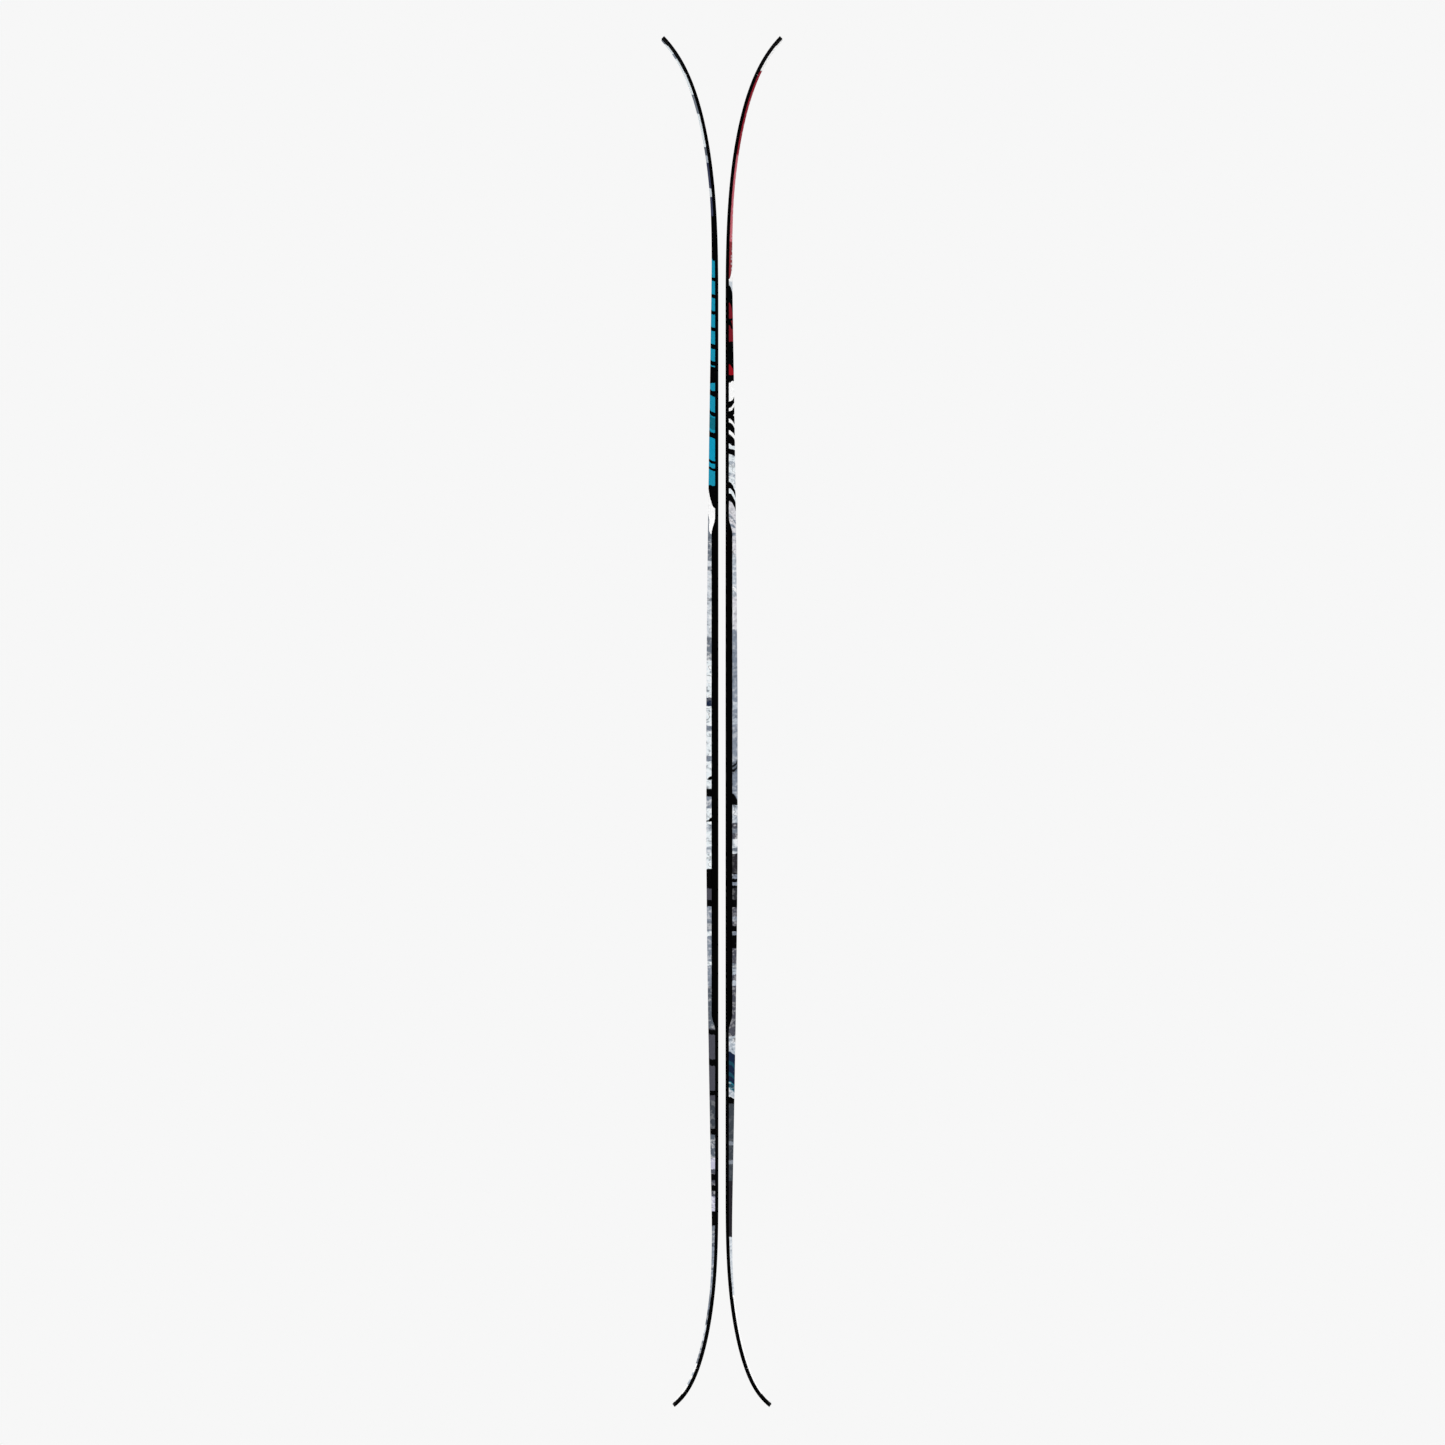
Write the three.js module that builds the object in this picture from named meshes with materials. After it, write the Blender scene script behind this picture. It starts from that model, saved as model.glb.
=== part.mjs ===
// A pair of twin-tip alpine skis, held base to base with the tips up, as they hang on a rack.
// Each ski is a laminate: base and steel edges at the bottom, a wood core between glass-fibre
// layers, plastic sidewalls, and a printed cap topsheet. Millimetres, +Z towards the tips,
// +X from one ski to the other, +Y across the skis. The origin is midway between the two bases
// at the height where the rack's pegs carry the splayed tips.
import * as THREE from "three";

// ---- driving dimensions ----
const skiLength = 1800; // tail end to tip end in a straight line
const baseGap = 9.4; // between the two running bases
const rackHeight = 1700; // tail ends to the rack's pegs

// Each end leaves the flat running base on a slow sweep and finishes in a short kick.
const tipRocker = { length: 376, sweep: 56.2, sweepPower: 3.2, kick: 15.1, kickPower: 12 };
const tailRocker = { length: 298, sweep: 43.9, sweepPower: 3.2, kick: 13.5, kickPower: 17 };

// Whole thickness: a plateau under the boot that thins to each end.
const thickness = { middle: 15.8, tip: 7.1, tail: 6.8 };
const plateau = { from: 718, to: 928, thinTail: 159, thinTip: 1586 }; // heights above the tail

// Height of the black band above the base: tall sidewalls in the middle, a low rim at the ends.
const band = { middle: 9.0, end: 4.4, riseFrom: 496, riseTo: 514, fallFrom: 1147, fallTo: 1168 };

// Plan: half-widths, and the places of the widest and narrowest points along the base.
const plan = { tip: 63, waist: 49, tail: 59.5, tipWidest: 235, tailWidest: 215, waistAt: 860 };
const nosePower = 4; // bluntness of the rounded ends
const rollOver = 10; // how late the sidecut rounds over into its widest point

// Layer levels above the running surface.
const glue = 0.1; // bond line between layers
const baseThick = 1.8;
const baseSeam = 0.15; // between the base and its edges
const edge = { wide: 2.2, high: 2.5, tangFrom: 2.0, tangReach: 6.5 };
const rubber = { inset: 0.3, reach: 7.9, from: 2.6, to: 2.9 };
const lowerLaminate = { inset: 8.3, from: 2.0, to: 2.75 };
const coreFrom = 2.85; // lower than the walls, so that no slit runs across the ski
const wallFrom = 3.0;
const wallWide = 7.8;
const wallSeam = 0.2; // between a sidewall and the wood
const topsheetThick = 0.7;
const laminateThick = 0.55;
const reinforcementThick = 0.4;
const capLean = 0.9; // how far the cap side leans in for each millimetre that it rises
const shoulder = 0.15; // share of the cap side taken by its rounded shoulder

// Inner lengthwise pieces, as distances from the centre line.
const stripLines = [6, 18, 30]; // joints between the wood strips
const matHalfWidth = 20;
const stringer = { from: 22, to: 32 };
const coreCut = 60; // the wood core stops this far from each end
const seam = 0.3; // gap between pieces that meet end to end

// Stations along the base between the two core cuts.
const middleStations = [411, 509, 518, 528, 573, 652, 731, 836, 941, 1073, 1160, 1171, 1181, 1311];
const matStations = [573, 1073];
const tailSteps = 7;
const tipSteps = 8;
const noseSteps = 10;

// ---- side view of the base line ----
const clamp01 = (x) => Math.min(Math.max(x, 0), 1);
const sweepOf = (r, u) => r.sweep * u ** r.sweepPower + r.kick * u ** r.kickPower;
const steepOf = (r, u) =>
  (r.sweep * r.sweepPower * u ** (r.sweepPower - 1) + r.kick * r.kickPower * u ** (r.kickPower - 1)) / r.length;
const tipU = (z) => clamp01((z - skiLength + tipRocker.length) / tipRocker.length);
const tailU = (z) => clamp01((tailRocker.length - z) / tailRocker.length);
const riseAt = (z) => sweepOf(tipRocker, tipU(z)) + sweepOf(tailRocker, tailU(z));
const slopeAt = (z) => steepOf(tipRocker, tipU(z)) - steepOf(tailRocker, tailU(z));

// Distance along the base from the tail end, for each millimetre of height.
const alongAt = [0];
for (let z = 0; z < skiLength; z++) alongAt.push(alongAt[z] + Math.hypot(1, slopeAt(z + 0.5)));
const baseLength = alongAt[skiLength];

function heightAt(s) {
  let low = 0;
  let high = skiLength;
  while (high - low > 1) {
    const middle = (low + high) >> 1;
    if (alongAt[middle] <= s) low = middle;
    else high = middle;
  }
  return low + (s - alongAt[low]) / (alongAt[high] - alongAt[low]);
}

// A point of one ski: s along the base, t up from it, y across. The ski's base faces -X.
function place(s, t, y) {
  const z = heightAt(s);
  const slope = slopeAt(z);
  const length = Math.hypot(1, slope);
  return new THREE.Vector3(baseGap / 2 + riseAt(z) + t / length, y, z - (t * slope) / length);
}

// ---- thickness and black band ----
const easeOut = (u) => (u + Math.sin((Math.PI * u) / 2)) / 2;

function thicknessAt(s) {
  const z = heightAt(s);
  const towardsTail = z < plateau.from;
  const end = towardsTail ? thickness.tail : thickness.tip;
  const share = towardsTail
    ? (z - plateau.thinTail) / (plateau.from - plateau.thinTail)
    : (plateau.thinTip - z) / (plateau.thinTip - plateau.to);
  return end + (thickness.middle - end) * easeOut(clamp01(share));
}

function bandAt(s) {
  const z = heightAt(s);
  const up = THREE.MathUtils.smoothstep(z, band.riseFrom, band.riseTo);
  const down = THREE.MathUtils.smoothstep(z, band.fallFrom, band.fallTo);
  return band.end + (band.middle - band.end) * (up - down);
}

// ---- plan outline ----
const tipWidestAt = baseLength - plan.tipWidest;

// A sidecut parabola that rolls over smoothly at its widest point.
const sidecut = (v) => ((rollOver + 2) * v ** 2 - 2 * v ** (rollOver + 2)) / rollOver;

function halfWidthAt(s) {
  if (s < plan.tailWidest) return plan.tail * Math.sqrt(1 - (1 - s / plan.tailWidest) ** nosePower);
  if (s > tipWidestAt) return plan.tip * Math.sqrt(1 - ((s - tipWidestAt) / plan.tipWidest) ** nosePower);
  const widest = s < plan.waistAt ? plan.tail : plan.tip;
  const span = s < plan.waistAt ? plan.waistAt - plan.tailWidest : tipWidestAt - plan.waistAt;
  return plan.waist + (widest - plan.waist) * sidecut(Math.abs(s - plan.waistAt) / span);
}

// An outline sample holds its place and the direction of an inset, so that every layer's
// outline is the same curve drawn further in.
function squareSample(s) {
  const halfWidth = halfWidthAt(s);
  const lean = halfWidthAt(s + 0.5) - halfWidthAt(s - 0.5);
  return { s, halfWidth, inward: { s: 0, w: Math.hypot(1, lean) } };
}

// Samples round one blunt end, from the core cut to the very end. direction is 1 at the tip.
function noseSamples(halfWidth, length, direction) {
  const widestAt = direction > 0 ? baseLength - length : length;
  const start = Math.asin(((length - coreCut) / length) ** (nosePower / 2));
  return Array.from({ length: noseSteps }, (_, i) => {
    const angle = start + ((Math.PI / 2 - start) * (i + 1)) / noseSteps;
    const v = Math.sin(angle) ** (2 / nosePower);
    const w = i + 1 < noseSteps ? halfWidth * Math.cos(angle) : 0;
    const normalS = (nosePower * v ** (nosePower - 1)) / length;
    const normalW = (2 * w) / halfWidth ** 2;
    const size = Math.hypot(normalS, normalW);
    return {
      s: widestAt + direction * length * v,
      halfWidth: w,
      inward: { s: (direction * normalS) / size, w: normalW / size },
    };
  });
}

const rockerStations = (length, steps) =>
  Array.from({ length: steps + 1 }, (_, i) => coreCut + (length - coreCut) * (i / steps) ** 1.5);
const tailFlat = alongAt[tailRocker.length];
const tipFlat = baseLength - alongAt[skiLength - tipRocker.length];
const bodySamples = [
  ...rockerStations(tailFlat, tailSteps),
  ...middleStations,
  ...rockerStations(tipFlat, tipSteps).map((s) => baseLength - s).reverse(),
].map(squareSample);
const tipNose = noseSamples(plan.tip, plan.tipWidest, 1);
const tailNose = noseSamples(plan.tail, plan.tailWidest, -1).reverse();
const wholeSamples = [...tailNose, ...bodySamples, ...tipNose];
const matSamples = bodySamples.filter((q) => q.s >= matStations[0] && q.s <= matStations[1]);

// ---- corners of a section, at one outline sample ----
const inset = (q, d, t) => ({ s: q.s - q.inward.s * d, w: Math.max(q.halfWidth - q.inward.w * d, 0), t });
const across = (q, w, t) => ({ s: q.s, w, t });
const capSideLength = Math.hypot(1, capLean);

// Inset of the cap's side at level t, for a surface that lies depth inside the outer one.
const capInset = (q, depth, t) => capLean * (t - bandAt(q.s)) + capSideLength * depth;
const capCorner = (q, depth, t) => inset(q, capInset(q, depth, t), t);

// ---- closed solids ----
// Points are shared where they coincide, so a section that closes to a line stays watertight.
class Skin {
  constructor() {
    this.points = [];
    this.faces = [];
    this.known = new Map();
  }

  point(p) {
    const key = p.toArray().map((x) => Math.round(x * 1e3)).join();
    if (!this.known.has(key)) this.known.set(key, this.points.push(p) - 1);
    return this.known.get(key);
  }

  triangle(a, b, c) {
    if (a !== b && b !== c && c !== a) this.faces.push([a, b, c]);
  }

  // Band of faces between two rings of the same length.
  band(from, to) {
    from.forEach((_, k) => {
      const next = (k + 1) % from.length;
      this.triangle(from[k], to[k], to[next]);
      this.triangle(from[k], to[next], from[next]);
    });
  }

  // Flat end over a ring, whose outline is given in the plane that it lies in.
  end(ring, outline, reversed) {
    const clockwise = THREE.ShapeUtils.isClockWise(outline);
    for (const corner of THREE.ShapeUtils.triangulateShape(outline, [])) {
      const sameTurn = THREE.ShapeUtils.isClockWise(corner.map((k) => outline[k])) === clockwise;
      const [a, b, c] = corner.map((k) => ring[k]);
      if (sameTurn === reversed) this.triangle(a, c, b);
      else this.triangle(a, b, c);
    }
  }

  volume() {
    const cross = new THREE.Vector3();
    return this.faces.reduce((sum, [a, b, c]) => {
      cross.crossVectors(this.points[b], this.points[c]);
      return sum + this.points[a].dot(cross) / 6;
    }, 0);
  }

  geometry() {
    const faces = this.volume() < 0 ? this.faces.map(([a, b, c]) => [a, c, b]) : this.faces;
    const made = new THREE.BufferGeometry();
    made.setAttribute("position", new THREE.Float32BufferAttribute(this.points.flatMap((p) => p.toArray()), 3));
    made.setIndex(faces.flat());
    made.computeVertexNormals();
    return made;
  }
}

// Joins sections, each a ring of corners {s, t, y}, into one closed geometry. An end whose ring
// has closed to a line needs no cap.
function loft(sections) {
  const skin = new Skin();
  const rings = sections.map((section) => section.map((c) => skin.point(place(c.s, c.t, c.y))));
  for (let j = 1; j < rings.length; j++) skin.band(rings[j - 1], rings[j]);
  for (const j of [0, rings.length - 1]) {
    const section = sections[j];
    const spread = (key) => Math.max(...section.map((c) => c[key])) - Math.min(...section.map((c) => c[key]));
    const side = spread("s") > spread("y") ? "s" : "y";
    const outline = section.map((c) => new THREE.Vector2(c[side], c.t));
    if (spread("y") > 0 || new Set(rings[j]).size === rings[j].length) skin.end(rings[j], outline, j > 0);
  }
  return skin.geometry();
}

// A piece that spans the ski: its corners run up one side and are mirrored on the other.
function slab(samples, cornersAt) {
  return loft(
    samples.map((q) => {
      const corners = cornersAt(q);
      const front = corners.map(({ s, t, w }) => ({ s, t, y: -w }));
      const rear = corners.map(({ s, t, w }) => ({ s, t, y: w }));
      return [...front, ...rear.reverse()];
    }),
  );
}

// A piece on one side of the centre line. side is -1 at the front and 1 at the rear.
function rail(samples, side, cornersAt) {
  const clear = (w) => Math.max(w, seam / 2); // the two sides stay apart where they meet
  return loft(samples.map((q) => cornersAt(q).map(({ s, t, w }) => ({ s, t, y: side * clear(w) }))));
}

// ---- the layers of one ski ----
const top = (q, depth) => thicknessAt(q.s) - depth;
const bandTop = (q) => bandAt(q.s);
const laminateDepth = topsheetThick + glue;
const reinforcementDepth = laminateDepth + laminateThick + glue;
const reinforcementFoot = reinforcementDepth + reinforcementThick;
const coreDepth = reinforcementFoot + glue;

const runningBase = () =>
  slab(wholeSamples, (q) => [inset(q, edge.wide + baseSeam, 0), inset(q, edge.wide + baseSeam, baseThick)]);

const steelEdge = (side) =>
  rail(wholeSamples, side, (q) => [
    inset(q, 0, 0),
    inset(q, edge.wide, 0),
    inset(q, edge.wide, edge.tangFrom),
    inset(q, edge.tangReach, edge.tangFrom),
    inset(q, edge.tangReach, edge.high),
    inset(q, 0, edge.high),
  ]);

const rubberStrip = (side) =>
  rail(wholeSamples, side, (q) => [
    inset(q, rubber.inset, rubber.from),
    inset(q, rubber.reach, rubber.from),
    inset(q, rubber.reach, rubber.to),
    inset(q, rubber.inset, rubber.to),
  ]);

const glassUnderCore = () =>
  slab(wholeSamples, (q) => [
    inset(q, lowerLaminate.inset, lowerLaminate.from),
    inset(q, lowerLaminate.inset, lowerLaminate.to),
  ]);

const sidewall = (side) =>
  rail(bodySamples, side, (q) => [
    inset(q, 0, wallFrom),
    inset(q, wallWide, wallFrom),
    inset(q, wallWide, bandTop(q)),
    inset(q, 0, bandTop(q)),
  ]);

// A wood strip of constant width between two joint lines.
function woodStrip(from, to) {
  const half = glue / 2;
  const [low, high] = [from + half, to - half];
  return loft(
    bodySamples.map((q) => {
      const roof = top(q, coreDepth);
      const corner = (y, t) => ({ s: q.s, y, t });
      return [corner(low, coreFrom), corner(high, coreFrom), corner(high, roof), corner(low, roof)];
    }),
  );
}

// The outermost wood strip follows the plan and laps over the sidewall, under the cap's side.
const outerWoodStrip = (side) =>
  rail(bodySamples, side, (q) => {
    const line = stripLines.at(-1) + glue / 2;
    const lap = bandTop(q) + glue;
    return [
      across(q, line, coreFrom),
      inset(q, wallWide + wallSeam, coreFrom),
      inset(q, wallWide + wallSeam, lap),
      capCorner(q, reinforcementDepth, lap),
      capCorner(q, reinforcementDepth, top(q, coreDepth)),
      across(q, line, top(q, coreDepth)),
    ];
  });

// Fills the end past the wood core: a rim the height of the band, then up under the cap.
const endSpacer = (samples) =>
  slab(samples, (q) => [
    inset(q, wallWide + wallSeam, coreFrom),
    inset(q, wallWide + wallSeam, wallFrom),
    inset(q, 0, wallFrom),
    inset(q, 0, bandTop(q)),
    inset(q, capInset(q, reinforcementDepth, bandTop(q) + glue), bandTop(q)),
    capCorner(q, reinforcementDepth, top(q, reinforcementDepth)),
  ]);

const lengthwise = (samples, side, from, to) =>
  rail(samples, side, (q) => [
    across(q, from, top(q, reinforcementFoot)),
    across(q, to, top(q, reinforcementFoot)),
    across(q, to, top(q, reinforcementDepth)),
    across(q, from, top(q, reinforcementDepth)),
  ]);

const bindingMat = () =>
  slab(matSamples, (q) => [
    across(q, matHalfWidth, top(q, reinforcementFoot)),
    across(q, matHalfWidth, top(q, reinforcementDepth)),
  ]);

// Channel of glass fibre: a top plate and two legs behind the cap's sides.
const glassOverCore = () =>
  slab(wholeSamples, (q) => {
    const [outer, inner] = [laminateDepth, laminateDepth + laminateThick];
    const foot = bandTop(q) + glue;
    return [
      capCorner(q, inner, top(q, inner)),
      capCorner(q, inner, foot),
      capCorner(q, outer, foot),
      capCorner(q, outer, top(q, outer)),
    ];
  });

const capTopsheet = () =>
  slab(wholeSamples, (q) => {
    const foot = bandTop(q) + glue;
    const round = shoulder * (thicknessAt(q.s) - bandTop(q));
    return [
      capCorner(q, topsheetThick, top(q, topsheetThick)),
      capCorner(q, topsheetThick, foot),
      capCorner(q, 0, foot),
      capCorner(q, 0, top(q, round)),
      inset(q, capInset(q, 0, top(q, 0)) + round, top(q, 0)),
    ];
  });

// ---- materials ----
const finish = (color, roughness, metalness = 0) => ({ color, roughness, metalness });
const finishes = {
  base: finish(0x16171a, 0.55),
  edge: finish(0x2a2b2e, 0.4, 0.9),
  rubber: finish(0x1b1b1b, 0.9),
  laminate: finish(0xb9b48c, 0.5),
  wood: finish(0xc9a877, 0.7),
  ash: finish(0xb58a56, 0.7),
  plastic: finish(0x0c0c0e, 0.45),
  carbon: finish(0x202124, 0.35),
  mat: finish(0xd8d6c8, 0.6),
  leftPrint: finish(0x9fb1bf, 0.3),
  rightPrint: finish(0x7f8794, 0.3),
};

function piece(name, geometry, look) {
  const mesh = new THREE.Mesh(geometry, new THREE.MeshStandardMaterial(finishes[look]));
  mesh.name = name;
  return mesh;
}

// ---- one ski ----
function ski(prefix, print) {
  const group = new THREE.Group();
  const add = (name, geometry, look) => group.add(piece(`${prefix}_${name}`, geometry, look));
  const sides = [["front", -1], ["rear", 1]];

  add("base", runningBase(), "base");
  for (const [name, side] of sides) add(`${name}_edge`, steelEdge(side), "edge");
  for (const [name, side] of sides) add(`${name}_rubber`, rubberStrip(side), "rubber");
  add("lower_laminate", glassUnderCore(), "laminate");

  // Strip 1 is at the front and the last one at the rear.
  const lines = [...stripLines.map((x) => -x).reverse(), ...stripLines];
  add("core_strip_1", outerWoodStrip(-1), "ash");
  for (let i = 1; i < lines.length; i++) {
    add(`core_strip_${i + 1}`, woodStrip(lines[i - 1], lines[i]), i % 2 ? "wood" : "ash");
  }
  add(`core_strip_${lines.length + 1}`, outerWoodStrip(1), "ash");

  add("tip_spacer", endSpacer([squareSample(baseLength - coreCut + seam), ...tipNose]), "plastic");
  add("tail_spacer", endSpacer([...tailNose, squareSample(coreCut - seam)]), "plastic");
  for (const [name, side] of sides) add(`${name}_sidewall`, sidewall(side), "plastic");

  add("binding_mat", bindingMat(), "mat");
  for (const [name, side] of sides) {
    add(`${name}_stringer`, lengthwise(bodySamples, side, stringer.from, stringer.to), "carbon");
  }
  add("upper_laminate", glassOverCore(), "laminate");
  add("topsheet", capTopsheet(), print);
  return group;
}

// The skis face each other, so the left one is the right one mirrored across the middle.
const pair = new THREE.Group();
const rightSki = ski("right", "rightPrint");
const leftSki = ski("left", "leftPrint");
leftSki.scale.x = -1;
pair.add(leftSki, rightSki);
pair.children.forEach((side) => {
  side.position.z = -rackHeight;
});

export default pair;
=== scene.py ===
import math

import bmesh
import bpy
import numpy as np
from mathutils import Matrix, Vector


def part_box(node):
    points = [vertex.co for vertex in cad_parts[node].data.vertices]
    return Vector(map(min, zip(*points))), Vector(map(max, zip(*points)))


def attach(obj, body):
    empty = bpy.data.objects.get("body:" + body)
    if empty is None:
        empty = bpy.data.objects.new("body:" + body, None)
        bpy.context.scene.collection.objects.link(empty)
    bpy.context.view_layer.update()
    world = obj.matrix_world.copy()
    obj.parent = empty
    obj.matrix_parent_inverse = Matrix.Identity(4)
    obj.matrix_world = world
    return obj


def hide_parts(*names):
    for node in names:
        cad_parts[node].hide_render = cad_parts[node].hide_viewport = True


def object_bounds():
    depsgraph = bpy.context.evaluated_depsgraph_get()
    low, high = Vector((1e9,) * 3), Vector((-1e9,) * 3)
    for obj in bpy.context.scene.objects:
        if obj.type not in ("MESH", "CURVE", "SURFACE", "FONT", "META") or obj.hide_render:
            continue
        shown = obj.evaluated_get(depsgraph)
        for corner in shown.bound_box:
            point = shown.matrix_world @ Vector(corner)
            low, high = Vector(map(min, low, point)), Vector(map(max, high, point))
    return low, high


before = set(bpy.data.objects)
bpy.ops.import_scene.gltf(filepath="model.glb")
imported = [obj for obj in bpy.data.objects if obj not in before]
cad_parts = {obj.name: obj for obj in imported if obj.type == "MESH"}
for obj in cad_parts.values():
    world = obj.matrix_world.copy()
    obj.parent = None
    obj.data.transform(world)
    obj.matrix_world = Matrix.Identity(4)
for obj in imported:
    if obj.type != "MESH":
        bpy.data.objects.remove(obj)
cad_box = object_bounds()

# A pair of twin-tip skis, base to base, built again as smooth skins and layers on the CAD's own
# formulas. Lengths are millimetres until a mesh is made; heights are above the tail ends.
MM = 0.001


def box_mm(node):
    low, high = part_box(node)
    return np.array(low) / MM, np.array(high) / MM


base_low, _ = box_mm("right_base")
_, edge_high = box_mm("right_rear_edge")

SKI_LENGTH = (cad_box[1].z - cad_box[0].z) / MM
RACK_HEIGHT = -cad_box[0].z / MM
BASE_GAP = 2 * base_low[0]

TIP_ROCKER = dict(length=376, sweep=56.2, sweep_power=3.2, kick=15.1, kick_power=12)
TAIL_ROCKER = dict(length=298, sweep=43.9, sweep_power=3.2, kick=13.5, kick_power=17)
THICKNESS = dict(middle=15.8, tip=7.1, tail=6.8)
PLATEAU = dict(start=718, end=928, thin_tail=159, thin_tip=1586)
BAND = dict(middle=9.0, end=4.4, rise=(496, 514), fall=(1147, 1168))
PLAN = dict(tip=edge_high[1], waist=49, tail=59.5, tip_widest=235, tail_widest=215, waist_at=860)
NOSE_POWER = 4
ROLL_OVER = 10

# Layer levels above the running surface, as in the CAD.
GLUE = 0.1
BASE_THICK = 1.8
EDGE_WIDE, EDGE_HIGH, TANG_FROM, TANG_REACH = 2.2, 2.5, 2.0, 6.5
BASE_SEAM = 0.15
BASE_INSET = EDGE_WIDE + BASE_SEAM
TOUCH = 0.02  # what is left of a bond line that can be seen into
RUBBER_INSET, RUBBER_REACH = 0.3, 7.9
LAMINATE_INSET, LAMINATE_FROM, LAMINATE_TO = 8.3, 2.0, 2.75
CORE_FROM, WALL_FROM = 2.85, 3.0
WALL_WIDE, WALL_SEAM = 7.8, 0.2
WOOD_INSET = WALL_WIDE + WALL_SEAM
TOPSHEET_THICK = 0.7
LAMINATE_THICK = 0.55
REINFORCEMENT_THICK = 0.4
CAP_LEAN = 0.9
CAP_SIDE = math.hypot(1, CAP_LEAN)
STRIP_LINES = [6, 18, 30]
MAT_HALF_WIDTH = 20
MAT_ENDS = (573, 1073)
STRINGER = (22, 32)
CORE_CUT = 60
SEAM = 0.3
LAMINATE_DEPTH = TOPSHEET_THICK + GLUE
REINFORCEMENT_DEPTH = LAMINATE_DEPTH + LAMINATE_THICK + GLUE
REINFORCEMENT_FOOT = REINFORCEMENT_DEPTH + REINFORCEMENT_THICK
CORE_DEPTH = REINFORCEMENT_FOOT + GLUE

# How fine the smooth meshes are.
STATION_STEP = 6.0
BOOT_STEPS = 60
NOSE_STEPS = 40
CORNER_STEPS = 4
WIDE_COLUMNS, MIDDLE_COLUMNS, NARROW_COLUMNS = 10, 6, 4  # faces across a piece, in each wide face


# ---- side view of the base line ----
def ramp_up(x, start, end):
    u = np.clip((x - start) / (end - start), 0, 1)
    return u * u * (3 - 2 * u)


def sweep_of(r, u):
    return r["sweep"] * u ** r["sweep_power"] + r["kick"] * u ** r["kick_power"]


def steepness_of(r, u):
    slow = r["sweep"] * r["sweep_power"] * u ** (r["sweep_power"] - 1)
    quick = r["kick"] * r["kick_power"] * u ** (r["kick_power"] - 1)
    return (slow + quick) / r["length"]


def tip_share(z):
    return np.clip((z - SKI_LENGTH + TIP_ROCKER["length"]) / TIP_ROCKER["length"], 0, 1)


def tail_share(z):
    return np.clip((TAIL_ROCKER["length"] - z) / TAIL_ROCKER["length"], 0, 1)


def rise_at(z):
    return sweep_of(TIP_ROCKER, tip_share(z)) + sweep_of(TAIL_ROCKER, tail_share(z))


def slope_at(z):
    return steepness_of(TIP_ROCKER, tip_share(z)) - steepness_of(TAIL_ROCKER, tail_share(z))


WHOLE_HEIGHTS = np.arange(round(SKI_LENGTH) + 1)
ALONG = np.concatenate([[0], np.cumsum(np.hypot(1, slope_at(WHOLE_HEIGHTS[:-1] + 0.5)))])
BASE_LENGTH = ALONG[-1]
TIP_WIDEST_AT = BASE_LENGTH - PLAN["tip_widest"]


def height_at(s):
    return np.interp(s, ALONG, WHOLE_HEIGHTS)


# ---- thickness, black band and plan ----
def thickness_at(s):
    z = height_at(s)
    from_tail = (z - PLATEAU["thin_tail"]) / (PLATEAU["start"] - PLATEAU["thin_tail"])
    from_tip = (PLATEAU["thin_tip"] - z) / (PLATEAU["thin_tip"] - PLATEAU["end"])
    end = np.where(z < PLATEAU["start"], THICKNESS["tail"], THICKNESS["tip"])
    u = np.clip(np.where(z < PLATEAU["start"], from_tail, from_tip), 0, 1)
    return end + (THICKNESS["middle"] - end) * (u + np.sin(np.pi * u / 2)) / 2


def band_at(s):
    z = height_at(s)
    share = ramp_up(z, *BAND["rise"]) - ramp_up(z, *BAND["fall"])
    return BAND["end"] + (BAND["middle"] - BAND["end"]) * share


def sidecut(v):
    return ((ROLL_OVER + 2) * v**2 - 2 * v ** (ROLL_OVER + 2)) / ROLL_OVER


def half_width_at(s):
    tail_v = np.clip(1 - s / PLAN["tail_widest"], 0, 1)
    tip_v = np.clip((s - TIP_WIDEST_AT) / PLAN["tip_widest"], 0, 1)
    nose_tail = PLAN["tail"] * np.sqrt(1 - tail_v**NOSE_POWER)
    nose_tip = PLAN["tip"] * np.sqrt(1 - tip_v**NOSE_POWER)
    back = s < PLAN["waist_at"]
    widest = np.where(back, PLAN["tail"], PLAN["tip"])
    span = np.where(back, PLAN["waist_at"] - PLAN["tail_widest"], TIP_WIDEST_AT - PLAN["waist_at"])
    v = np.clip(np.abs(s - PLAN["waist_at"]) / span, 0, 1)
    middle = PLAN["waist"] + (widest - PLAN["waist"]) * sidecut(v)
    return np.where(s < PLAN["tail_widest"], nose_tail, np.where(s > TIP_WIDEST_AT, nose_tip, middle))


# ---- stations along the ski ----
class Stations:
    """Places along the base, each with its half-width and the way that an inset goes there."""

    def __init__(self, s, half, inward_s, inward_w):
        self.s, self.half, self.inward_s, self.inward_w = s, half, inward_s, inward_w
        self.thick, self.band = thickness_at(s), band_at(s)

    def inset(self, d, t):
        """A line of points at a distance d inside the outline, at level t."""
        w = np.maximum(self.half - self.inward_w * d, 0)
        return np.array([self.s - self.inward_s * d, w, t + 0 * w])

    def across(self, w, t):
        """A line of points at a distance w from the centre line, at level t."""
        return np.array([self.s, w + 0 * self.s, t + 0 * self.s])

    def top(self, depth):
        return self.thick - depth

    def cap(self, depth, t):
        """A line on the cap's side at level t, for a surface that lies depth inside it."""
        return self.inset(CAP_LEAN * (t - self.band) + CAP_SIDE * depth, t)


def square_stations(s):
    s = np.asarray(s, float)
    lean = half_width_at(s + 0.5) - half_width_at(s - 0.5)
    return Stations(s, half_width_at(s), 0 * s, np.hypot(1, lean))


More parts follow.
